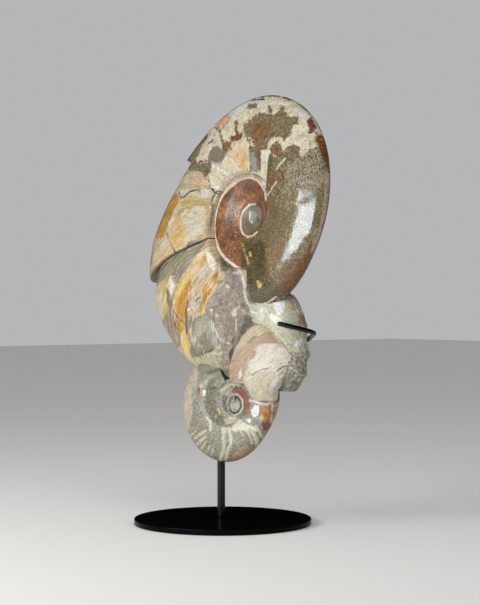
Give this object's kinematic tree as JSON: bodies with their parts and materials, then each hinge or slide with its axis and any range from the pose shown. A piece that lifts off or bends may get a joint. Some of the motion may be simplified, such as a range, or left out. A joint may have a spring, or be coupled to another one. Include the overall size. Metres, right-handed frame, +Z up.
{
  "type": "ammonite fossil on stand",
  "caption": "Large broken ammonite with a smaller one, rock and a loose shell fragment, standing on a round black base with a post and holding arms.",
  "frame": {"origin": "centre of the round base's underside", "axes": "+Z up along the post; -Y is the fossil's front, the side that shows the coils in the picture; +X is to the right of the large shell seen from its front"},
  "size_m": [0.2671, 0.18, 0.4344],
  "materials": {
    "polished_shell": "polished fossil shell and calcite, gloss",
    "pale_shell": "polished cream fossil shell, gloss",
    "streaked_shell": "cream and orange streaked fossil shell, satin",
    "green_calcite": "polished grey-green calcite, gloss",
    "grey_rock": "rough grey rock with a polished lobe",
    "cream_shell": "pale pink and cream shell, satin",
    "base_black": "black, gloss",
    "post_black": "black, gloss",
    "clasp_black": "black, gloss",
    "rest_black": "black, gloss"
  },
  "bodies": {
    "root": {"inner_whorls": "polished_shell", "body_whorl_upper": "pale_shell", "body_whorl_lower": "streaked_shell", "small_ammonite": "green_calcite", "matrix_rock": "grey_rock", "shell_piece": "cream_shell", "stand_base": "base_black", "stand_post": "post_black", "stand_clasp": "clasp_black", "stand_rest": "rest_black"}
  },
  "joints": []
}
